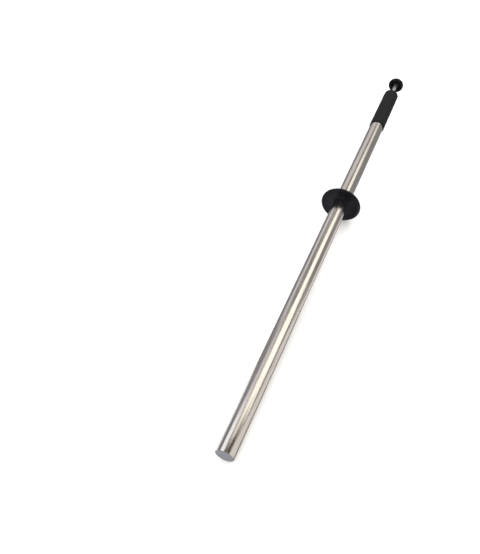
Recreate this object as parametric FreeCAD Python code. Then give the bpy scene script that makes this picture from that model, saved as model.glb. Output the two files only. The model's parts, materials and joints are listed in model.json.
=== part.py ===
import FreeCAD, Part
import math
import os

# Hand-held magnetic pick-up wand with a quick release, in millimetres.
# +X runs along the wand from the tip to the pull knob, +Z is up, and the wand lies on its side.
# The origin is the centre of the tip's flat end face.
# Pulling the knob draws the magnet bar up the tube, past the stripper disc, and the metal drops off.
# Every x below is a distance from the tip.

V = FreeCAD.Vector
X_AXIS = V(1, 0, 0)

# How far a cut runs past the face it opens, and how near a circle must be to count as found
OVERCUT = 1.0
NEAR = 1e-6

# Overall
WAND_LENGTH = 880.0
TRAVEL = 480.0

# Tube
TUBE_R = 12.5
TUBE_BORE_R = 11.5
TUBE_LENGTH = 826.0
TUBE_EDGE = 0.5

# End plug, closing the tip, and the rubber pad behind it
PLUG_LENGTH = 6.0
PLUG_EDGE = 0.4
TIP_BUFFER_R = 11.0
TIP_BUFFER_LENGTH = 3.0
TIP_BUFFER_HOLE_R = 3.5

# Stripper disc: a thin web with a thickened rim, and a hub behind it
DISC_X = 475.0
DISC_R = 33.5
WEB_THICKNESS = 2.5
RIM_WIDTH = 2.4
RIM_PROUD = 0.8
HUB_R = 17.5
HUB_LENGTH = 14.0
HUB_EDGE = 1.2
HUB_FILLET = 2.0
BOSS_R = 15.5
BOSS_PROUD = 0.8

# Grub screws in the hub, M4 with a hexagon socket
GRUB_R = 2.0
GRUB_X = DISC_X + WEB_THICKNESS + 8.0
GRUB_SOCKET_R = 1.15
GRUB_SOCKET_DEPTH = 2.0
GRUB_RECESS = 0.5
GRUB_COUNT = 3

# Grip
GRIP_X = 713.0
GRIP_LENGTH = 118.0
GRIP_R = 14.0
GRIP_TOP_WALL = 3.0
GRIP_TOP_FILLET = 3.0
GRIP_FOOT_FILLET = 0.8
GRIP_ROD_HOLE_R = 3.9

# Guide bush in the top of the tube
BUSH_LENGTH = 22.0
FLANGE_THICKNESS = 2.0
FLANGE_R = 12.3
ROD_CLEARANCE = 0.05
RING_GROOVE_X = 818.0
RING_GROOVE_WIDTH = 2.6
RING_GROOVE_R = 5.7
RING_SECTION_R = 1.0
RING_CLEARANCE = 0.1

# Countersunk screws through the tube into the bush, M3
SCREW_X = 810.0
SCREW_R = 1.5
SCREW_HEAD_R = 2.5
SCREW_HEAD_TOP = 12.2
SCREW_DEPTH = 6.0
SCREW_SLOT_WIDTH = 0.8
SCREW_SLOT_DEPTH = 0.6
SCREW_COUNT = 3

# Rubber stop under the bush
TOP_BUFFER_LENGTH = 3.0
TOP_BUFFER_R = 11.0
TOP_BUFFER_HOLE_R = 4.2

# Pull rod and knob
ROD_R = 3.5
ROD_EDGE = 0.5
KNOB_R = 15.0
KNOB_RIM_X = 867.0
KNOB_WIDEST_X = 872.0
KNOB_RIM_R = 11.0
DISH_MOUTH_R = 10.2
DISH_FLOOR_R = 6.5
DISH_DEPTH = 5.0
KNOB_ROD_HOLE_R = 3.6
INSERT_R = 4.9
INSERT_RECESS = 0.6
INSERT_LENGTH = 6.0
INSERT_GROOVE_DEPTH = 0.5
INSERT_GROOVE_WIDTH = 1.2
INSERT_GROOVE_INSETS = (1.0, 3.8)
ROD_IN_INSERT = 5.5

# Magnet bar: foot shoe, then ring magnets between pole pieces, then the coupling to the rod
MAGNET_COUNT = 10
MAGNET_R = 10.0
MAGNET_BORE_R = 3.0
MAGNET_LENGTH = 25.0
MAGNET_EDGE = 0.4
POLE_LENGTH = 2.5
POLE_BORE_R = 2.6
SLIDER_R = 11.25
SHOE_LENGTH = 11.0
SHOE_WEB = 5.0
SHOE_POCKET_R = 5.6
SHOE_EDGE = 0.8
TIE_ROD_R = 2.5
TIE_ROD_EDGE = 0.4
WASHER_R = 5.0
WASHER_THICKNESS = 1.0
NUT_ACROSS_FLATS = 8.0
NUT_THICKNESS = 4.0
COUPLING_R = 10.5
COUPLING_EDGE = 1.0
TIE_ROD_IN_COUPLING = 10.5
ROD_IN_COUPLING = 11.5
PIN_R = 1.5
PIN_BORE_R = 0.9
PIN_SLOT = 0.5
PIN_LENGTH = 20.0
GUIDE_RING_WIDTH = 6.0
GUIDE_RING_INNER_R = 9.5
GUIDE_RING_GAP = 1.0
GUIDE_RING_INSET = 2.5

# Places that follow from the sizes above
tip_buffer_x = PLUG_LENGTH
shoe_x = tip_buffer_x + TIP_BUFFER_LENGTH
shoe_web_x = shoe_x + SHOE_LENGTH - SHOE_WEB
stack_x = shoe_x + SHOE_LENGTH
stack_pitch = MAGNET_LENGTH + POLE_LENGTH
coupling_x = stack_x + MAGNET_COUNT * stack_pitch + POLE_LENGTH
bush_x = TUBE_LENGTH - BUSH_LENGTH
top_buffer_x = bush_x - TOP_BUFFER_LENGTH
coupling_end_x = top_buffer_x - TRAVEL
rod_start_x = coupling_end_x - ROD_IN_COUPLING
dish_floor_x = KNOB_RIM_X + DISH_DEPTH
insert_x = dish_floor_x + INSERT_RECESS
rod_end_x = insert_x + ROD_IN_INSERT
pin_x = coupling_end_x - ROD_IN_COUPLING / 2
grip_end_x = GRIP_X + GRIP_LENGTH
hub_end_x = DISC_X + WEB_THICKNESS + HUB_LENGTH


def rod_along_x(start, end, radius):
    """A solid cylinder on the wand's axis."""
    return Part.makeCylinder(radius, end - start, V(start, 0, 0), X_AXIS)


def ring_along_x(start, end, outer, inner):
    """A hollow cylinder on the wand's axis."""
    return rod_along_x(start, end, outer).cut(rod_along_x(start, end, inner))


def revolve(edges):
    """A solid of revolution about the wand's axis, from the edges of a closed outline in the XY plane."""
    face = Part.Face(Part.Wire(Part.sortEdges(edges)[0]))
    return face.revolve(V(0, 0, 0), X_AXIS, 360)


def outline(points):
    """Straight edges joining (x, radius) points, left open."""
    places = [V(x, radius, 0) for x, radius in points]
    return [Part.makeLine(a, b) for a, b in zip(places, places[1:])]


def quarter_ellipse(major_end, minor_end, centre):
    """A quarter of an ellipse, as a spline edge."""
    ellipse = Part.Ellipse(major_end, minor_end, centre)
    return Part.ArcOfEllipse(ellipse, 0, math.pi / 2).toNurbs().toShape()


def is_circle_at(edge, x, radius):
    """True for a circular edge about the wand's axis with this place and radius."""
    curve = edge.Curve
    if not isinstance(curve, Part.Circle):
        return False
    on_axis = math.hypot(curve.Center.y, curve.Center.z) < NEAR
    return on_axis and abs(curve.Center.x - x) < NEAR and abs(curve.Radius - radius) < NEAR


def circles_at(shape, *places):
    """The circular edges of a shape at the given (x, radius) places."""
    return [e for e in shape.Edges if any(is_circle_at(e, x, radius) for x, radius in places)]


def around(shape, count):
    """Copies of a shape at equal angles about the wand's axis."""
    copies = []
    for i in range(count):
        copy = shape.copy()
        copy.rotate(V(0, 0, 0), X_AXIS, 360 * i / count)
        copies.append(copy)
    return copies


def radial_cylinder(x, start, end, radius):
    """A cylinder that points straight out from the wand's axis, up +Z."""
    return Part.makeCylinder(radius, end - start, V(x, 0, start))


def hex_prism(across_flats, base, height, direction):
    """A hexagonal prism with its flats this far apart."""
    corner_r = across_flats / math.sqrt(3)
    corners = [V(corner_r * math.cos(a), corner_r * math.sin(a), 0) for a in hex_angles()]
    face = Part.Face(Part.makePolygon(corners + [corners[0]]))
    prism = face.extrude(V(0, 0, height))
    prism.Placement = FreeCAD.Placement(base, FreeCAD.Rotation(V(0, 0, 1), direction))
    return prism


def hex_angles():
    """The six corner angles of a hexagon, in radians."""
    return [math.radians(60 * i) for i in range(6)]


def bush_screw():
    """One countersunk slotted screw, its axis along +Z at the screw's place on the tube."""
    head_depth = SCREW_HEAD_R - SCREW_R
    shank = radial_cylinder(SCREW_X, SCREW_HEAD_TOP - SCREW_DEPTH, SCREW_HEAD_TOP - head_depth, SCREW_R)
    head = Part.makeCone(SCREW_R, SCREW_HEAD_R, head_depth, V(SCREW_X, 0, SCREW_HEAD_TOP - head_depth))
    slot_corner = V(SCREW_X - SCREW_HEAD_R, -SCREW_SLOT_WIDTH / 2, SCREW_HEAD_TOP - SCREW_SLOT_DEPTH)
    slot = Part.makeBox(2 * SCREW_HEAD_R, SCREW_SLOT_WIDTH, SCREW_SLOT_DEPTH, slot_corner)
    return shank.fuse(head), slot


def bush_screw_hole():
    """The space one bush screw takes, open to the outside of the tube."""
    screw = bush_screw()[0]
    mouth = radial_cylinder(SCREW_X, SCREW_HEAD_TOP, TUBE_R + OVERCUT, SCREW_HEAD_R)
    return screw.fuse(mouth)


def outer_tube():
    """Stainless tube, open at both ends, with countersunk holes for the bush screws."""
    tube = ring_along_x(0, TUBE_LENGTH, TUBE_R, TUBE_BORE_R)
    tube = tube.makeFillet(TUBE_EDGE, circles_at(tube, (0, TUBE_R)))
    for hole in around(bush_screw_hole(), SCREW_COUNT):
        tube = tube.cut(hole)
    return tube


def end_plug():
    """Stainless plug pressed flush into the tip."""
    plug = rod_along_x(0, PLUG_LENGTH, TUBE_BORE_R)
    return plug.makeChamfer(PLUG_EDGE, circles_at(plug, (0, TUBE_BORE_R)))


def tip_buffer():
    """Rubber pad behind the plug, which the magnet bar's foot rests on."""
    start = tip_buffer_x
    return ring_along_x(start, start + TIP_BUFFER_LENGTH, TIP_BUFFER_R, TIP_BUFFER_HOLE_R)


def stripper_disc():
    """Disc that scrapes the collected metal off, with a boss on its face and a hub behind it."""
    web_back = DISC_X + WEB_THICKNESS
    rim_in = DISC_R - RIM_WIDTH
    web = ring_along_x(DISC_X, web_back, rim_in + RIM_WIDTH / 2, TUBE_R)
    hub = ring_along_x(DISC_X, hub_end_x, HUB_R, TUBE_R)
    boss = ring_along_x(DISC_X - BOSS_PROUD, web_back, BOSS_R, TUBE_R)
    rim_front = DISC_X - RIM_PROUD
    rim_back = web_back + RIM_PROUD
    rim_middle = (rim_front + rim_back) / 2
    rim_round = (rim_back - rim_front) / 2
    bead_start = DISC_R - rim_round
    rim_box = [(rim_front, bead_start), (rim_front, rim_in), (rim_back, rim_in), (rim_back, bead_start)]
    nose = Part.Arc(V(rim_back, bead_start, 0), V(rim_middle, DISC_R, 0), V(rim_front, bead_start, 0))
    rim = revolve(outline(rim_box) + [nose.toShape()])
    disc = web.fuse([hub, boss, rim]).removeSplitter()
    disc = disc.makeFillet(HUB_FILLET, circles_at(disc, (web_back, HUB_R)))
    disc = disc.makeChamfer(HUB_EDGE, circles_at(disc, (hub_end_x, HUB_R)))
    hole = radial_cylinder(GRUB_X, TUBE_R - OVERCUT, HUB_R + OVERCUT, GRUB_R)
    return disc.cut(around(hole, GRUB_COUNT))


def disc_grub_screws():
    """Grub screws that lock the disc's hub to the tube, as separate solids."""
    top = HUB_R - GRUB_RECESS
    screw = radial_cylinder(GRUB_X, TUBE_R - OVERCUT, top, GRUB_R)
    screw = screw.cut(rod_along_x(DISC_X, hub_end_x, TUBE_R))
    across = 2 * GRUB_SOCKET_R
    socket = hex_prism(across, V(GRUB_X, 0, top - GRUB_SOCKET_DEPTH), GRUB_SOCKET_DEPTH, V(0, 0, 1))
    return Part.makeCompound(around(screw.cut(socket), GRUB_COUNT))


def grip_sleeve():
    """Rubber sleeve pushed over the top of the tube, closed except for the rod's hole."""
    sleeve = rod_along_x(GRIP_X, grip_end_x, GRIP_R)
    sleeve = sleeve.makeFillet(GRIP_TOP_FILLET, circles_at(sleeve, (grip_end_x, GRIP_R)))
    sleeve = sleeve.makeFillet(GRIP_FOOT_FILLET, circles_at(sleeve, (GRIP_X, GRIP_R)))
    sleeve = sleeve.cut(rod_along_x(GRIP_X - OVERCUT, grip_end_x - GRIP_TOP_WALL, TUBE_R))
    return sleeve.cut(rod_along_x(GRIP_X, grip_end_x + OVERCUT, GRIP_ROD_HOLE_R))


def guide_bush():
    """Flanged nylon bush in the top of the tube, which guides the pull rod."""
    body = rod_along_x(bush_x, TUBE_LENGTH, TUBE_BORE_R)
    flange_end = TUBE_LENGTH + FLANGE_THICKNESS
    flange = rod_along_x(TUBE_LENGTH, flange_end, FLANGE_R)
    bush = body.fuse(flange)
    bush = bush.cut(rod_along_x(bush_x - OVERCUT, flange_end + OVERCUT, ROD_R + ROD_CLEARANCE))
    groove_start = RING_GROOVE_X - RING_GROOVE_WIDTH / 2
    groove_end = RING_GROOVE_X + RING_GROOVE_WIDTH / 2
    bush = bush.cut(rod_along_x(groove_start, groove_end, RING_GROOVE_R))
    for screw in around(bush_screw()[0], SCREW_COUNT):
        bush = bush.cut(screw)
    return bush


def bush_screws():
    """Screws that hold the bush in the tube, under the grip, as separate solids."""
    screw, slot = bush_screw()
    return Part.makeCompound(around(screw.cut(slot), SCREW_COUNT))


def rod_o_ring():
    """Rubber ring in the bush's groove, which wipes the pull rod."""
    middle_r = ROD_R + RING_CLEARANCE + RING_SECTION_R
    return Part.makeTorus(middle_r, RING_SECTION_R, V(RING_GROOVE_X, 0, 0), X_AXIS)


def top_buffer():
    """Rubber washer under the bush, which stops the magnet bar at the end of its travel."""
    return ring_along_x(top_buffer_x, bush_x, TOP_BUFFER_R, TOP_BUFFER_HOLE_R)


def pull_rod():
    """Steel rod from the magnet bar's coupling to the knob."""
    rod = rod_along_x(rod_start_x, rod_end_x, ROD_R)
    rod = rod.makeChamfer(ROD_EDGE, circles_at(rod, (rod_start_x, ROD_R), (rod_end_x, ROD_R)))
    return rod.cut(coupling_pin_space())


def knob():
    """Flattened mushroom knob with a dished underside, moulded round its insert."""
    edge_centre = V(KNOB_WIDEST_X, KNOB_RIM_R, 0)
    rim_end = V(KNOB_RIM_X, KNOB_RIM_R, 0)
    widest = V(KNOB_WIDEST_X, KNOB_R, 0)
    crown_centre = V(KNOB_WIDEST_X, 0, 0)
    crown_top = V(WAND_LENGTH, 0, 0)
    pocket_end = insert_x + INSERT_LENGTH
    lower_edge = quarter_ellipse(rim_end, widest, edge_centre)
    crown = quarter_ellipse(widest, crown_top, crown_centre)
    pocket = [(WAND_LENGTH, 0), (pocket_end, 0), (pocket_end, INSERT_R), (insert_x, INSERT_R)]
    lip = [(insert_x, KNOB_ROD_HOLE_R), (dish_floor_x, KNOB_ROD_HOLE_R)]
    dish = [(dish_floor_x, DISH_FLOOR_R), (KNOB_RIM_X, DISH_MOUTH_R), (KNOB_RIM_X, KNOB_RIM_R)]
    return revolve(outline(pocket + lip + dish) + [lower_edge, crown])


def knob_insert():
    """Brass insert with a blind hole for the rod's end and two keying grooves."""
    start = insert_x
    end = start + INSERT_LENGTH
    insert = rod_along_x(start, end, INSERT_R)
    groove_floor_r = INSERT_R - INSERT_GROOVE_DEPTH
    for inset in INSERT_GROOVE_INSETS:
        groove_x = start + inset
        groove_end_x = groove_x + INSERT_GROOVE_WIDTH
        insert = insert.cut(ring_along_x(groove_x, groove_end_x, INSERT_R + OVERCUT, groove_floor_r))
    return insert.cut(rod_along_x(start - OVERCUT, rod_end_x, ROD_R))


def coupling_pin_space():
    """The cross hole for the pin that ties the pull rod to the coupling."""
    return Part.makeCylinder(PIN_R, 2 * SLIDER_R, V(pin_x, -SLIDER_R, 0), V(0, 1, 0))


def top_coupling():
    """Aluminium coupling between the magnet bar's tie rod and the pull rod."""
    coupling = rod_along_x(coupling_x, coupling_end_x, COUPLING_R)
    coupling = coupling.makeChamfer(COUPLING_EDGE, circles_at(coupling, (coupling_end_x, COUPLING_R)))
    tie_rod_end_x = coupling_x + TIE_ROD_IN_COUPLING
    coupling = coupling.cut(rod_along_x(coupling_x - OVERCUT, tie_rod_end_x, TIE_ROD_R))
    coupling = coupling.cut(rod_along_x(rod_start_x, coupling_end_x + OVERCUT, ROD_R))
    groove_x = coupling_x + GUIDE_RING_INSET
    groove_end_x = groove_x + GUIDE_RING_WIDTH
    groove = ring_along_x(groove_x, groove_end_x, COUPLING_R + OVERCUT, GUIDE_RING_INNER_R)
    return coupling.cut(groove).cut(coupling_pin_space())


def coupling_pin():
    """Slotted spring pin across the coupling and the pull rod."""
    start = V(pin_x, -PIN_LENGTH / 2, 0)
    pin = Part.makeCylinder(PIN_R, PIN_LENGTH, start, V(0, 1, 0))
    pin = pin.cut(Part.makeCylinder(PIN_BORE_R, PIN_LENGTH, start, V(0, 1, 0)))
    slot_corner = V(pin_x - PIN_SLOT / 2, -PIN_LENGTH / 2, 0)
    slot = Part.makeBox(PIN_SLOT, PIN_LENGTH, PIN_R + OVERCUT, slot_corner)
    return pin.cut(slot)


def coupling_guide_ring():
    """Split nylon ring in the coupling's groove, which slides on the tube's bore."""
    start = coupling_x + GUIDE_RING_INSET
    ring = ring_along_x(start, start + GUIDE_RING_WIDTH, SLIDER_R, GUIDE_RING_INNER_R)
    gap_corner = V(start, -GUIDE_RING_GAP / 2, 0)
    gap = Part.makeBox(GUIDE_RING_WIDTH, GUIDE_RING_GAP, SLIDER_R + OVERCUT, gap_corner)
    return ring.cut(gap)


def tie_rod():
    """Brass stud through the whole magnet bar."""
    start = shoe_web_x - WASHER_THICKNESS - NUT_THICKNESS
    end = coupling_x + TIE_ROD_IN_COUPLING
    rod = rod_along_x(start, end, TIE_ROD_R)
    return rod.makeChamfer(TIE_ROD_EDGE, circles_at(rod, (start, TIE_ROD_R), (end, TIE_ROD_R)))


def foot_shoe():
    """Nylon shoe that slides in the tube, with a pocket for the tie rod's nut."""
    shoe = rod_along_x(shoe_x, stack_x, SLIDER_R)
    shoe = shoe.makeChamfer(SHOE_EDGE, circles_at(shoe, (shoe_x, SLIDER_R), (stack_x, SLIDER_R)))
    shoe = shoe.cut(rod_along_x(shoe_x - OVERCUT, shoe_web_x, SHOE_POCKET_R))
    return shoe.cut(rod_along_x(shoe_x, stack_x + OVERCUT, POLE_BORE_R))


def foot_washer():
    """Washer under the tie rod's nut."""
    return ring_along_x(shoe_web_x - WASHER_THICKNESS, shoe_web_x, WASHER_R, POLE_BORE_R)


def foot_nut():
    """Hexagon nut that clamps the magnet bar together."""
    start = shoe_web_x - WASHER_THICKNESS - NUT_THICKNESS
    nut = hex_prism(NUT_ACROSS_FLATS, V(start, 0, 0), NUT_THICKNESS, X_AXIS)
    return nut.cut(rod_along_x(start - OVERCUT, start + NUT_THICKNESS + OVERCUT, TIE_ROD_R))


def pole_piece(index):
    """Soft steel disc, one at each end of the stack and one between every two magnets."""
    start = stack_x + index * stack_pitch
    return ring_along_x(start, start + POLE_LENGTH, MAGNET_R, POLE_BORE_R)


def ring_magnet(index):
    """Ring magnet between two pole pieces."""
    start = stack_x + POLE_LENGTH + index * stack_pitch
    end = start + MAGNET_LENGTH
    magnet = rod_along_x(start, end, MAGNET_R)
    magnet = magnet.makeChamfer(MAGNET_EDGE, circles_at(magnet, (start, MAGNET_R), (end, MAGNET_R)))
    return magnet.cut(rod_along_x(start, end, MAGNET_BORE_R))


NODES = {
    "outer_tube": outer_tube,
    "end_plug": end_plug,
    "tip_buffer": tip_buffer,
    "stripper_disc": stripper_disc,
    "disc_grub_screws": disc_grub_screws,
    "grip_sleeve": grip_sleeve,
    "guide_bush": guide_bush,
    "bush_screws": bush_screws,
    "rod_o_ring": rod_o_ring,
    "top_buffer": top_buffer,
    "pull_rod": pull_rod,
    "knob": knob,
    "knob_insert": knob_insert,
    "top_coupling": top_coupling,
    "coupling_pin": coupling_pin,
    "coupling_guide_ring": coupling_guide_ring,
    "tie_rod": tie_rod,
    "foot_shoe": foot_shoe,
    "foot_washer": foot_washer,
    "foot_nut": foot_nut,
}

os.makedirs("parts", exist_ok=True)
for name, make in NODES.items():
    make().exportStep(f"parts/{name}.step")
for number in range(MAGNET_COUNT + 1):
    pole_piece(number).exportStep(f"parts/pole_piece_{number + 1:02d}.step")
for number in range(MAGNET_COUNT):
    ring_magnet(number).exportStep(f"parts/ring_magnet_{number + 1:02d}.step")
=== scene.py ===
"""Looks for a hand-held magnetic pick-up wand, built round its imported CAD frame.

Metres, in the CAD's own frame: +X runs along the wand from the tip to the pull knob, +Z is up.
"""

import json
import math
import bpy
import bmesh
from mathutils import Matrix, Vector


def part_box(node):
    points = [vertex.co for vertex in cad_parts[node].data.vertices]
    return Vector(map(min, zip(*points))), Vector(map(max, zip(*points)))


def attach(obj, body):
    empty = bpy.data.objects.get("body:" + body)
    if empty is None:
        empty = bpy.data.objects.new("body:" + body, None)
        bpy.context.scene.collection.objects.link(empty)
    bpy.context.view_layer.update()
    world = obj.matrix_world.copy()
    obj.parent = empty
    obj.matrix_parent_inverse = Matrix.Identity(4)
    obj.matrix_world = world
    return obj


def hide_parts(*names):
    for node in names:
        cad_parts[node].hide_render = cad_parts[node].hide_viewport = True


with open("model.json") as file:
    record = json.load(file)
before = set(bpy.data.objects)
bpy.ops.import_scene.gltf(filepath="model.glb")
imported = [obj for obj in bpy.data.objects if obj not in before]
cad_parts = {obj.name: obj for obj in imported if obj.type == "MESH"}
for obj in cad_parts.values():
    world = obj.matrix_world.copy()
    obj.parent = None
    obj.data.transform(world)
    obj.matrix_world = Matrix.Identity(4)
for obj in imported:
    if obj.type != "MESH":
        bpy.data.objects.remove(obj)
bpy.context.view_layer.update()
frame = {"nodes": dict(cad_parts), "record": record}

MM = 0.001

TUBE_BODY = "wand_tube"
PULLER_BODY = "magnet_puller"

# Places and sizes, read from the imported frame
tube_lo, tube_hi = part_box("outer_tube")
plug_lo, plug_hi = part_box("end_plug")
disc_lo, disc_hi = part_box("stripper_disc")
grub_lo, grub_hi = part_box("disc_grub_screws")
grip_lo, grip_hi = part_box("grip_sleeve")
rod_lo, rod_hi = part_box("pull_rod")
knob_lo, knob_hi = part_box("knob")
insert_lo, insert_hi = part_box("knob_insert")

tube_r = tube_hi.y
bore_r = plug_hi.y
disc_r = disc_hi.y
grip_r = grip_hi.y
rod_r = rod_hi.y
knob_r = knob_hi.y
insert_r = insert_hi.y

# The disc's rim from front to back, and how far it stands proud of the web on each side
RIM_WIDTH = 4.1 * MM
RIM_PROUD = 0.8 * MM

GRUB_SCREWS = 3


# ---------------------------------------------------------------- mesh tools

# The rounding radius of a corner that stays sharp
SHARP = 0

# A point nearer the wand's axis than this is on it
ON_AXIS = 1e-7

# Edges that turn by more than this stay crisp, in degrees
CRISP_DEG = 32

CUTTER_SEGMENTS = 48


def new_object(name, bm):
    """An object in the scene, from a bmesh that is then freed."""
    mesh = bpy.data.meshes.new(name)
    bm.to_mesh(mesh)
    bm.free()
    made = bpy.data.objects.new(name, mesh)
    bpy.context.scene.collection.objects.link(made)
    return made


def round_axis(x, radius, angle):
    """A point at an angle about the wand's axis, in radians from straight up towards +Y."""
    return (x, radius * math.sin(angle), radius * math.cos(angle))


def corner_arc(before, corner, after, radius, steps):
    """Points of the round that replaces a corner of an outline."""
    into = (before - corner).normalized()
    out = (after - corner).normalized()
    half = into.angle(out) / 2
    cut = radius / math.tan(half)
    centre = corner + (into + out).normalized() * (radius / math.sin(half))
    start = corner + into * cut - centre
    end = corner + out * cut - centre
    turn = start.angle_signed(end)
    points = []
    for i in range(steps + 1):
        a = -turn * i / steps
        c = math.cos(a)
        s = math.sin(a)
        points.append(centre + Vector((start.x * c - start.y * s, start.x * s + start.y * c)))
    return points


def rounded(corners, steps=6):
    """An outline of (x, r) points, from (x, r, rounding radius) corners."""
    places = [Vector((x, r)) for x, r, _ in corners]
    points = []
    for i, (_, _, radius) in enumerate(corners):
        inner = 0 < i < len(corners) - 1
        if radius and inner:
            points += corner_arc(places[i - 1], places[i], places[i + 1], radius, steps)
        else:
            points.append(places[i])
    return points


def ellipse_arc(centre, along, out, start, end, steps):
    """Points of an ellipse with semi-axes along X and out from the axis, between two angles in degrees."""
    points = []
    for i in range(steps + 1):
        a = math.radians(start + (end - start) * i / steps)
        points.append(Vector((centre[0] + along * math.sin(a), centre[1] + out * math.cos(a))))
    return points


def lathe(name, outline, segments, closed=True):
    """A mesh object turned about the X axis from an outline of (x, r) points."""
    bm = bmesh.new()
    rings = []
    for x, r in outline:
        if r < ON_AXIS:
            rings.append([bm.verts.new((x, 0, 0))])
            continue
        turns = [2 * math.pi * i / segments for i in range(segments)]
        rings.append([bm.verts.new(round_axis(x, r, a)) for a in turns])
    pairs = list(zip(rings, rings[1:]))
    if closed:
        pairs.append((rings[-1], rings[0]))
    for first, second in pairs:
        join_rings(bm, first, second, segments)
    bmesh.ops.recalc_face_normals(bm, faces=bm.faces)
    mark_sharp(bm)
    return new_object(name, bm)


def join_rings(bm, first, second, segments):
    """Faces between two rings of points, either of which may be a single point on the axis."""
    if len(first) == 1 and len(second) == 1:
        return
    for i in range(segments):
        j = (i + 1) % segments
        if len(first) == 1:
            bm.faces.new((first[0], second[i], second[j]))
        elif len(second) == 1:
            bm.faces.new((first[i], first[j], second[0]))
        else:
            bm.faces.new((first[i], first[j], second[j], second[i]))


def mark_sharp(bm):
    """Smooth faces, with the sharper edges left crisp."""
    limit = math.radians(CRISP_DEG)
    for face in bm.faces:
        face.smooth = True
    for edge in bm.edges:
        if len(edge.link_faces) == 2 and edge.calc_face_angle() > limit:
            edge.smooth = False


def cut_with(piece, cutters):
    """Takes the cutters' solids out of a piece."""
    for cutter in cutters:
        cut = piece.modifiers.new("cut", "BOOLEAN")
        cut.operation = "DIFFERENCE"
        cut.solver = "EXACT"
        cut.object = cutter
    graph = bpy.context.evaluated_depsgraph_get()
    mesh = bpy.data.meshes.new_from_object(piece.evaluated_get(graph))
    piece.modifiers.clear()
    piece.data = mesh
    for cutter in cutters:
        bpy.data.objects.remove(cutter)
    bm = bmesh.new()
    bm.from_mesh(mesh)
    mark_sharp(bm)
    bm.to_mesh(mesh)
    bm.free()


def radial_cutter(x, radius, inner, outer, angle):
    """A round cutter that points straight out from the axis, at an angle about it from +Z."""
    bm = bmesh.new()
    bmesh.ops.create_cone(
        bm, cap_ends=True, segments=CUTTER_SEGMENTS, radius1=radius, radius2=radius, depth=outer - inner
    )
    middle = Matrix.Translation((x, 0, (inner + outer) / 2))
    bmesh.ops.transform(bm, matrix=Matrix.Rotation(angle, 4, "X") @ middle, verts=bm.verts)
    return new_object("cutter", bm)


# ---------------------------------------------------------------- materials


class Nodes:
    """A short way to build one material's nodes."""

    def __init__(self, name):
        self.material = bpy.data.materials.new(name)
        self.material.use_nodes = True
        self.tree = self.material.node_tree
        self.shader = self.tree.nodes["Principled BSDF"]
        self.place = self.add("ShaderNodeTexCoord").outputs["Object"]

    def add(self, kind, **settings):
        """A new node, with its settings."""
        node = self.tree.nodes.new(kind)
        for key, value in settings.items():
            setattr(node, key, value)
        return node

    def link(self, source, target):
        """A link from one socket to another."""
        self.tree.links.new(source, target)

    def set(self, **values):
        """Values for the shader's own sockets, named with _ for each space."""
        for key, value in values.items():
            self.shader.inputs[key.replace("_", " ")].default_value = value

    def scaled(self, scale):
        """The object's own coordinates, stretched by a factor along each axis."""
        mapping = self.add("ShaderNodeMapping")
        mapping.inputs["Scale"].default_value = scale
        self.link(self.place, mapping.inputs["Vector"])
        return mapping.outputs["Vector"]

    def noise(self, scale, detail=4.0, roughness=0.55, stretch=(1, 1, 1)):
        """Noise from 0 to 1, with this many features to the metre."""
        node = self.add("ShaderNodeTexNoise")
        node.inputs["Scale"].default_value = scale
        node.inputs["Detail"].default_value = detail
        node.inputs["Roughness"].default_value = roughness
        self.link(self.scaled(stretch), node.inputs["Vector"])
        return node.outputs["Fac"]

    def math(self, operation, *values):
        """A math node on sockets or numbers."""
        node = self.add("ShaderNodeMath", operation=operation)
        for socket, value in zip(node.inputs, values):
            if isinstance(value, (int, float)):
                socket.default_value = value
            else:
                self.link(value, socket)
        return node.outputs["Value"]

    def mix(self, first, second, share):
        """A share of the first value, and the rest of the second."""
        return self.math(
            "ADD", self.math("MULTIPLY", first, share), self.math("MULTIPLY", second, 1 - share)
        )

    def tones(self, value, dark, light, start, end):
        """Base colour: dark where a value is at start or under it, light at end or over it."""
        node = self.add("ShaderNodeValToRGB")
        stops = ((start, dark), (end, light))
        for element, (position, colour) in zip(node.color_ramp.elements, stops):
            element.position = position
            element.color = (*colour, 1)
        self.link(value, node.inputs["Fac"])
        self.link(node.outputs["Color"], self.shader.inputs["Base Color"])

    def roughness(self, value, low, high, start, end):
        """Roughness: low where a value is at start or under it, high at end or over it."""
        node = self.add("ShaderNodeMapRange")
        node.inputs["From Min"].default_value = start
        node.inputs["From Max"].default_value = end
        node.inputs["To Min"].default_value = low
        node.inputs["To Max"].default_value = high
        self.link(value, node.inputs["Value"])
        self.link(node.outputs["Result"], self.shader.inputs["Roughness"])

    def bump(self, height, distance, strength=1.0):
        """Bumps of this height in metres."""
        node = self.add("ShaderNodeBump")
        node.inputs["Strength"].default_value = strength
        node.inputs["Distance"].default_value = distance
        self.link(height, node.inputs["Height"])
        self.link(node.outputs["Normal"], self.shader.inputs["Normal"])


def metal(name, light, dark, roughness, grain, bump, streak=(1, 1, 1)):
    """Bare metal: two near tones in patches, grain stretched the way it was finished, fine bumps."""
    n = Nodes(name)
    n.set(Metallic=1.0)
    patches = n.noise(scale=30.0, detail=3.0)
    n.tones(patches, dark, light, start=0.3, end=0.7)
    lines = n.noise(grain, detail=6.0, roughness=0.7, stretch=streak)
    n.roughness(lines, low=roughness * 0.7, high=roughness * 1.4, start=0.3, end=0.7)
    n.bump(lines, distance=bump)
    return n.material


def plastic(name, colour, roughness, mottle=0.15, grain=900.0, bump=0.01 * MM):
    """Moulded plastic: one colour with slight mottling, and fine skin texture."""
    n = Nodes(name)
    n.set(Specular_IOR_Level=0.5)
    dark = tuple(c * (1 - mottle) for c in colour)
    light = tuple(c * (1 + mottle) for c in colour)
    n.tones(n.noise(scale=45.0), dark, light, start=0.3, end=0.7)
    skin = n.noise(grain, detail=3.0)
    wear = n.noise(scale=70.0, detail=5.0, roughness=0.65)
    n.roughness(wear, low=roughness * 0.75, high=roughness * 1.5, start=0.35, end=0.7)
    n.bump(skin, distance=bump)
    return n.material


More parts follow.
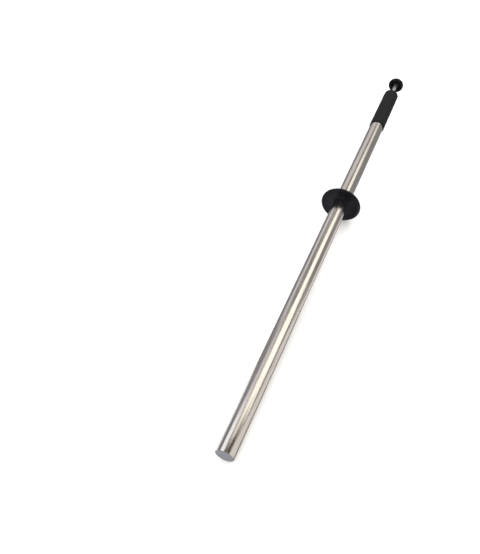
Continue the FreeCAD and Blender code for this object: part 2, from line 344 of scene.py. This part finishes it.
def tube_material():
    """Polished stainless tube: warm grey, with fine lines along it and a faint haze of handling."""
    n = Nodes("polished_tube")
    n.set(Metallic=1.0)
    tone = n.noise(scale=420.0, detail=5.0, roughness=0.65, stretch=(0.035, 1, 1))
    n.tones(tone, dark=(0.55, 0.52, 0.49), light=(0.70, 0.67, 0.62), start=0.3, end=0.7)
    haze = n.noise(scale=60.0, detail=6.0, roughness=0.7, stretch=(0.5, 1, 1))
    n.roughness(n.mix(tone, haze, share=0.5), low=0.12, high=0.30, start=0.35, end=0.65)
    draw_lines = n.noise(scale=230.0, detail=4.0, roughness=0.6, stretch=(0.03, 1, 1))
    n.bump(draw_lines, distance=0.15 * MM)
    return n.material


def turned_face(name, light, dark, roughness):
    """Metal turned on a lathe: fine rings about the wand's axis, in two near tones."""
    n = Nodes(name)
    n.set(Metallic=1.0)
    axes = n.add("ShaderNodeSeparateXYZ")
    n.link(n.place, axes.inputs["Vector"])
    squares = [n.math("POWER", n.math("ABSOLUTE", axes.outputs[axis]), 2.0) for axis in ("Y", "Z")]
    radius = n.math("SQRT", n.math("ADD", *squares))
    rings = n.add("ShaderNodeTexNoise", noise_dimensions="1D")
    rings.inputs["Scale"].default_value = 2600.0
    rings.inputs["Detail"].default_value = 4.0
    n.link(radius, rings.inputs["W"])
    handling = n.noise(scale=140.0, detail=5.0, roughness=0.65)
    tone = n.mix(rings.outputs["Fac"], handling, share=0.55)
    n.tones(tone, dark, light, start=0.36, end=0.62)
    n.roughness(tone, low=roughness * 0.8, high=roughness * 1.3, start=0.35, end=0.65)
    n.bump(rings.outputs["Fac"], distance=0.02 * MM)
    return n.material


def grip_material():
    """Matte black rubber with a fine pebble grain."""
    n = Nodes("grip_rubber")
    n.set(Specular_IOR_Level=0.2)
    tone = n.noise(scale=110.0, detail=6.0, roughness=0.75)
    n.tones(tone, dark=(0.0035, 0.0035, 0.0037), light=(0.0095, 0.0095, 0.0096), start=0.3, end=0.72)
    pebble = n.add("ShaderNodeTexVoronoi", feature="SMOOTH_F1")
    pebble.inputs["Scale"].default_value = 800.0
    n.link(n.place, pebble.inputs["Vector"])
    n.roughness(tone, low=0.5, high=0.75, start=0.3, end=0.7)
    n.bump(pebble.outputs["Distance"], distance=0.3 * MM, strength=0.9)
    return n.material


def gloss_black(name, dark, light, roughness, shine, coat):
    """Glossy black moulding with faint swirls and scuffs in its polish."""
    n = Nodes(name)
    n.set(Specular_IOR_Level=shine, Coat_Weight=coat, Coat_Roughness=0.05)
    n.tones(n.noise(scale=48.0, detail=3.0), dark, light, start=0.35, end=0.65)
    scuff = n.noise(scale=160.0, detail=6.0, roughness=0.7)
    n.roughness(scuff, low=roughness * 0.6, high=roughness * 1.9, start=0.35, end=0.75)
    n.bump(n.noise(scale=240.0, detail=2.0), distance=0.01 * MM)
    return n.material


# Stretches a noise across the wand's axis, so that its grain looks turned
ACROSS = (1, 0.08, 0.08)

MATERIALS = {
    "polished_tube": tube_material(),
    "plug_steel": turned_face(
        "plug_steel",
        light=(0.80, 0.82, 0.88), dark=(0.66, 0.68, 0.74), roughness=0.36,
    ),
    "disc_plastic": gloss_black(
        "disc_plastic",
        dark=(0, 0.0005, 0.002), light=(0.005, 0.005, 0.009), roughness=0.08, shine=0.27, coat=0.12,
    ),
    "knob_plastic": gloss_black(
        "knob_plastic",
        dark=(0, 0, 0.001), light=(0.003, 0.003, 0.005), roughness=0.22, shine=0.22, coat=0.0,
    ),
    "grip_rubber": grip_material(),
    "stop_rubber": plastic(
        "stop_rubber",
        colour=(0.022, 0.022, 0.022), roughness=0.65, grain=1500.0, bump=0.02 * MM,
    ),
    "rod_steel": metal(
        "rod_steel",
        light=(0.88, 0.88, 0.87), dark=(0.78, 0.78, 0.77),
        roughness=0.42, grain=2500.0, bump=0.003 * MM, streak=ACROSS,
    ),
    "nylon": plastic("nylon", colour=(0.80, 0.78, 0.71), roughness=0.45, mottle=0.04),
    "black_nylon": plastic("black_nylon", colour=(0.03, 0.03, 0.03), roughness=0.5),
    "insert_brass": metal(
        "insert_brass",
        light=(0.72, 0.52, 0.24), dark=(0.62, 0.43, 0.19),
        roughness=0.28, grain=1800.0, bump=0.004 * MM, streak=ACROSS,
    ),
    "coupling_aluminium": metal(
        "coupling_aluminium",
        light=(0.76, 0.77, 0.78), dark=(0.68, 0.69, 0.70),
        roughness=0.3, grain=1600.0, bump=0.005 * MM, streak=ACROSS,
    ),
    "pole_steel": metal(
        "pole_steel",
        light=(0.45, 0.45, 0.46), dark=(0.36, 0.36, 0.37),
        roughness=0.36, grain=1200.0, bump=0.005 * MM,
    ),
    "magnet_nickel": metal(
        "magnet_nickel",
        light=(0.68, 0.66, 0.62), dark=(0.60, 0.58, 0.54),
        roughness=0.16, grain=700.0, bump=0.003 * MM,
    ),
    "black_screw": metal(
        "black_screw",
        light=(0.05, 0.05, 0.055), dark=(0.03, 0.03, 0.033),
        roughness=0.35, grain=900.0, bump=0.004 * MM,
    ),
    "zinc_screw": metal(
        "zinc_screw",
        light=(0.60, 0.62, 0.66), dark=(0.50, 0.52, 0.55),
        roughness=0.3, grain=900.0, bump=0.004 * MM,
    ),
}


def dress(piece, slot):
    """Gives a piece the material of one of the record's slots."""
    piece.data.materials.clear()
    piece.data.materials.append(MATERIALS[slot])


def place(piece, slot, body, *nodes):
    """Finishes a detailed piece: material, body, and the CAD nodes it stands for."""
    dress(piece, slot)
    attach(piece, body)
    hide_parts(*nodes)


# ---------------------------------------------------------------- pieces

# A closed outline starts and ends at two places along the bore, so that every real corner of it
# is an inner one and can be rounded.


def make_tube():
    """Tube with a rolled rim at the tip and a plain cut end under the grip."""
    first_x = tube_lo.x + 1 * MM
    last_x = tube_lo.x + 2 * MM
    bore_edge = 0.12 * MM
    rolled_edge = 0.5 * MM
    cut_edge = 0.1 * MM
    corners = [
        (first_x, bore_r, SHARP),
        (tube_lo.x, bore_r, bore_edge),
        (tube_lo.x, tube_r, rolled_edge),
        (tube_hi.x, tube_r, cut_edge),
        (tube_hi.x, bore_r, cut_edge),
        (last_x, bore_r, SHARP),
    ]
    return lathe("tube_shell", rounded(corners), segments=160)


def make_tip_plate():
    """The tip's flat plate, with a shallow seam round it."""
    seam = 0.35 * MM
    gap = 0.02 * MM
    plate_r = bore_r - gap
    face_edge = 0.15 * MM
    seam_edge = 0.05 * MM
    back_edge = 0.2 * MM
    corners = [
        (plug_lo.x, 0, SHARP),
        (plug_lo.x, bore_r - seam, face_edge),
        (plug_lo.x + seam, plate_r, seam_edge),
        (plug_hi.x, plate_r, back_edge),
        (plug_hi.x, 0, SHARP),
    ]
    return lathe("tip_plate", rounded(corners), segments=128, closed=False)


def make_disc():
    """Stripper disc: beaded rim, thin web, low boss in front, hub with screw holes behind."""
    first_x = disc_lo.x + 2 * MM
    last_x = disc_lo.x + 4 * MM
    web = 2.5 * MM
    rim_front = disc_lo.x
    web_front = rim_front + RIM_PROUD
    web_back = web_front + web
    rim_back = web_back + RIM_PROUD
    rim_depth = 2.4 * MM
    crest_rise = 0.1 * MM
    foot_drop = 0.7 * MM
    crest_r = disc_r - rim_depth + crest_rise
    foot_r = disc_r - rim_depth - foot_drop
    boss_r = 15.5 * MM
    boss_slope = 0.5 * MM
    hub_r = 17.5 * MM
    # Just under half the rim's width, so the two rounds of the rim don't meet
    bead = 0.98 * RIM_WIDTH / 2
    bore_edge = 0.3 * MM
    boss_edge = 0.35 * MM
    crest_edge = 0.5 * MM
    foot_edge = 0.6 * MM
    hub_fillet = 2.0 * MM
    hub_edge = 1.2 * MM
    corners = [
        (first_x, tube_r, SHARP),
        (rim_front, tube_r, bore_edge),
        (rim_front, boss_r, boss_edge),
        (web_front, boss_r + boss_slope, boss_edge),
        (web_front, foot_r, foot_edge),
        (rim_front, crest_r, crest_edge),
        (rim_front, disc_r, bead),
        (rim_back, disc_r, bead),
        (rim_back, crest_r, crest_edge),
        (web_back, foot_r, foot_edge),
        (web_back, hub_r, hub_fillet),
        (disc_hi.x, hub_r, hub_edge),
        (disc_hi.x, tube_r, bore_edge),
        (last_x, tube_r, SHARP),
    ]
    disc = lathe("disc_moulding", rounded(corners, steps=8), segments=160)
    hole_x = (grub_lo.x + grub_hi.x) / 2
    hole_r = (grub_hi.x - grub_lo.x) / 2
    inner_overcut = 1 * MM
    outer_overcut = 2 * MM
    inner = tube_r - inner_overcut
    outer = hub_r + outer_overcut
    turns = [2 * math.pi * i / GRUB_SCREWS for i in range(GRUB_SCREWS)]
    cut_with(disc, [radial_cutter(hole_x, hole_r, inner, outer, a) for a in turns])
    return disc


def make_grip():
    """Rubber sleeve, closed at the top, with a soft shoulder there and a small round at its foot."""
    first_x = grip_lo.x + 1 * MM
    last_x = grip_lo.x + 3 * MM
    wall = 3.0 * MM
    clearance = 0.4 * MM
    top_x = grip_hi.x - wall
    hole_r = rod_r + clearance
    bore_edge = 0.25 * MM
    foot_edge = 0.6 * MM
    shoulder = 3.0 * MM
    hole_edge = 0.5 * MM
    inner_edge = 0.2 * MM
    corners = [
        (first_x, tube_r, SHARP),
        (grip_lo.x, tube_r, bore_edge),
        (grip_lo.x, grip_r, foot_edge),
        (grip_hi.x, grip_r, shoulder),
        (grip_hi.x, hole_r, hole_edge),
        (top_x, hole_r, inner_edge),
        (top_x, tube_r, inner_edge),
        (last_x, tube_r, SHARP),
    ]
    return lathe("grip_rubber", rounded(corners, steps=10), segments=128)


def make_rod():
    """Ground steel rod with turned ends."""
    edge = 0.5 * MM
    corners = [
        (rod_lo.x, 0, SHARP),
        (rod_lo.x, rod_r, edge),
        (rod_hi.x, rod_r, edge),
        (rod_hi.x, 0, SHARP),
    ]
    return lathe("rod_shaft", rounded(corners), segments=64, closed=False)


def make_knob():
    """Flattened mushroom knob with a dished underside. It is widest level with the dish's floor."""
    depth = 5.0 * MM
    clearance = 0.1 * MM
    floor_x = knob_lo.x + depth
    rod_hole_r = rod_r + clearance
    floor_r = 6.5 * MM
    mouth_r = 10.2 * MM
    rim_r = 11.0 * MM
    hole_edge = 0.2 * MM
    floor_fillet = 1.2 * MM
    mouth_edge = 0.3 * MM
    inside = [
        (insert_hi.x, 0, SHARP),
        (insert_hi.x, insert_r, SHARP),
        (insert_lo.x, insert_r, SHARP),
        (insert_lo.x, rod_hole_r, SHARP),
        (floor_x, rod_hole_r, hole_edge),
        (floor_x, floor_r, floor_fillet),
        (knob_lo.x, mouth_r, mouth_edge),
        (knob_lo.x, rim_r, SHARP),
    ]
    side = ellipse_arc((floor_x, rim_r), depth, knob_r - rim_r, start=-90, end=0, steps=12)
    crown = ellipse_arc((floor_x, 0), knob_hi.x - floor_x, knob_r, start=0, end=90, steps=28)
    outline = rounded(inside) + side[1:] + crown[1:]
    return lathe("knob_cap", outline, segments=128, closed=False)


place(make_tube(), "polished_tube", TUBE_BODY, "outer_tube")
place(make_tip_plate(), "plug_steel", TUBE_BODY, "end_plug")
place(make_disc(), "disc_plastic", TUBE_BODY, "stripper_disc")
place(make_grip(), "grip_rubber", TUBE_BODY, "grip_sleeve")
place(make_rod(), "rod_steel", PULLER_BODY, "pull_rod")
place(make_knob(), "knob_plastic", PULLER_BODY, "knob")

node_slots = {part["node"]: part["material_slot"] for part in frame["record"]["subparts"]}
for node_name, node in frame["nodes"].items():
    if not node.hide_render:
        node.data.materials.clear()
        node.data.materials.append(MATERIALS[node_slots[node_name]])


# ---------------------------------------------------------------- studio

# Power of an area light for each unit of its radiance and each square metre
WATTS_PER_RADIANCE = 4.0

# Where the panels stand, measured from the wand's axis
PANEL_DISTANCE = 1.3
FILL_DISTANCE = 2.8

WHITE = (1.0, 1.0, 1.0)
WARM = (1.0, 0.95, 0.86)
GOLD = (1.0, 0.92, 0.76)
AMBER = (1.0, 0.92, 0.86)
ROSE = (1.0, 0.92, 0.93)
LILAC = (1.0, 0.95, 1.05)
COOL = (0.95, 0.98, 1.07)

# The soft panels that the tube mirrors: name, angles about the wand's axis in degrees,
# reach along it in metres, radiance and colour. The ones below the wand stand in for the lit
# ground, because reflections don't see the floor.
PANELS = [
    ("key_tip", (-32, -6), (-0.6, 0.5), 0.5, GOLD),
    ("key_low", (-60, 0), (0.5, 1.15), 1.2, WARM),
    ("key_middle", (-50, -8), (1.15, 1.85), 1.2, WARM),
    ("key_far", (-48, -10), (1.85, 2.45), 0.95, WARM),
    ("key_top", (-46, -12), (2.45, 3.6), 0.6, WARM),
    ("rim_tip", (12, 50), (-0.6, 0.5), 1.0, COOL),
    ("rim_low", (8, 48), (0.5, 1.0), 0.38, LILAC),
    ("rim_middle", (44, 74), (1.0, 1.85), 0.5, LILAC),
    ("rim_far", (14, 74), (1.85, 3.6), 0.45, ROSE),
    ("edge_tip", (100, 140), (-0.6, 0.75), 0.9, COOL),
    ("side_tip", (-140, -55), (-0.6, 0.5), 0.56, AMBER),
    ("side_low", (-140, -80), (0.5, 1.15), 0.53, AMBER),
    ("side_middle", (-150, -110), (1.15, 1.85), 0.56, AMBER),
    ("ground_left", (112, 162), (-1.9, -0.72), 0.27, COOL),
    ("ground_right", (166, 215), (-1.9, -0.72), 0.11, COOL),
]

# A wide light over the whole wand, which reflections don't show
FILL = ("overhead_fill", (-56, 56), (-4.0, 5.0), 1.0, WHITE)

# The surround goes all round, and the floor reaches this far from under the tip
BACKDROP_RADIUS = 9.0
FLOOR_REACH = 2.5
FLOOR_SQUARES = 24

# The dark card stands this far from the wand's axis. Its lower edge is level, at an angle about
# the axis in degrees, and its upper edge goes through (millimetres from the tip, angle) points:
# a foot up to 41 mm, then a blade that tapers.
CARD_DISTANCE = 0.12
CARD_LOW = -54
CARD_HIGH = [(20, 5), (41, 5), (44, -24), (62, -32), (80, -50)]
CARD_STEPS = 8
CARD_COLOUR = (0.08, 0.055, 0.045)

ROOM_COLOUR = (0.315, 0.31, 0.31)

# The camera at the picture's viewing angle: lens and sensor in millimetres, place in metres,
# the direction it looks in, and the direction to the right of its picture
CAMERA_LENS = 37.65
CAMERA_SENSOR = 36.0
CAMERA_PLACE = (-0.25209, -0.19816, 0.64629)
CAMERA_LOOK = (0.59342, 0.33402, -0.73231)
CAMERA_RIGHT = (0.39355, -0.91406, -0.09800)
CAMERA_NEAR = 0.01
CAMERA_FAR = 60.0

# The wand lies on the disc's rim and the tip's rim, so the floor slopes a little under it.
contact_x = disc_lo.x + RIM_WIDTH / 2
floor_slope = math.atan((disc_r - tube_r) / contact_x)


def hide_from(thing, *rays):
    """Hides a light or a part of the stage from these kinds of ray."""
    for ray in rays:
        setattr(thing, "visible_" + ray, False)


def glow(name, colour):
    """A surface of one colour that gives off light and reflects none."""
    n = Nodes(name)
    n.set(Base_Color=(0, 0, 0, 1), Specular_IOR_Level=0.0)
    n.set(Emission_Color=(*colour, 1), Emission_Strength=1.0)
    return n.material


def make_backdrop():
    """A plain white surround, seen by the camera only."""
    bm = bmesh.new()
    bmesh.ops.create_icosphere(bm, subdivisions=4, radius=BACKDROP_RADIUS)
    backdrop = new_object("backdrop", bm)
    backdrop.data.materials.append(glow("backdrop_paint", WHITE))
    hide_from(backdrop, "diffuse", "glossy", "transmission", "shadow")


def make_floor():
    """A wide pale floor under the wand."""
    bm = bmesh.new()
    bmesh.ops.create_grid(bm, x_segments=FLOOR_SQUARES, y_segments=FLOOR_SQUARES, size=FLOOR_REACH)
    floor = new_object("floor", bm)
    floor.matrix_world = Matrix.Translation((0, 0, -tube_r)) @ Matrix.Rotation(floor_slope, 4, "Y")
    n = Nodes("floor_paint")
    n.set(Roughness=0.9, Specular_IOR_Level=0.1)
    n.tones(n.noise(scale=3.0), dark=(0.90, 0.90, 0.90), light=(0.92, 0.92, 0.92), start=0.3, end=0.7)
    floor.data.materials.append(n.material)
    hide_from(floor, "glossy")


def make_panel(name, angles, reach, radiance, colour, distance=PANEL_DISTANCE, gloss=True):
    """A soft flat light along the wand.

    It spans a range of angles about the wand's axis, in degrees from straight up towards +Y,
    and a range of places along it.
    """
    light = bpy.data.lights.new(name, "AREA")
    light.shape = "RECTANGLE"
    light.size = reach[1] - reach[0]
    light.size_y = 2 * distance * math.tan(math.radians(angles[1] - angles[0]) / 2)
    light.energy = radiance * light.size * light.size_y * WATTS_PER_RADIANCE
    light.color = colour
    panel = bpy.data.objects.new(name, light)
    bpy.context.scene.collection.objects.link(panel)
    turn = Matrix.Rotation(-math.radians(sum(angles) / 2), 4, "X")
    panel.matrix_world = turn @ Matrix.Translation((sum(reach) / 2, 0, distance))
    hide_from(panel, "camera")
    panel.visible_glossy = gloss


def make_dark_card():
    """Something dark beside the tip, seen in reflections only."""
    bm = bmesh.new()
    columns = []
    for x, high in CARD_HIGH:
        rise = (high - CARD_LOW) / CARD_STEPS
        angles = [math.radians(CARD_LOW + rise * i) for i in range(CARD_STEPS + 1)]
        columns.append([bm.verts.new(round_axis(x * MM, CARD_DISTANCE, a)) for a in angles])
    for first, second in zip(columns, columns[1:]):
        for i in range(CARD_STEPS):
            bm.faces.new((first[i], first[i + 1], second[i + 1], second[i]))
    card = new_object("dark_card", bm)
    card.data.materials.append(glow("dark_card_paint", CARD_COLOUR))
    hide_from(card, "camera", "diffuse", "transmission", "shadow")


def make_world():
    """A plain grey room."""
    world = bpy.data.worlds.new("room")
    world.use_nodes = True
    world.node_tree.nodes["Background"].inputs["Color"].default_value = (*ROOM_COLOUR, 1)
    world.node_tree.nodes["Background"].inputs["Strength"].default_value = 1.0
    bpy.context.scene.world = world


def make_camera():
    """The camera, at the picture's viewing angle."""
    data = bpy.data.cameras.new("camera")
    data.lens = CAMERA_LENS
    data.sensor_width = CAMERA_SENSOR
    data.clip_start = CAMERA_NEAR
    data.clip_end = CAMERA_FAR
    camera = bpy.data.objects.new("camera", data)
    bpy.context.scene.collection.objects.link(camera)
    look = Vector(CAMERA_LOOK).normalized()
    right = Vector(CAMERA_RIGHT).normalized()
    up = right.cross(look)
    turn = Matrix((right, up, -look)).transposed().to_4x4()
    camera.matrix_world = Matrix.Translation(CAMERA_PLACE) @ turn
    bpy.context.scene.camera = camera


make_backdrop()
make_floor()
make_dark_card()
make_world()
for panel_row in PANELS:
    make_panel(*panel_row)
make_panel(*FILL, distance=FILL_DISTANCE, gloss=False)
make_camera()

bpy.context.scene.view_settings.view_transform = "Standard"
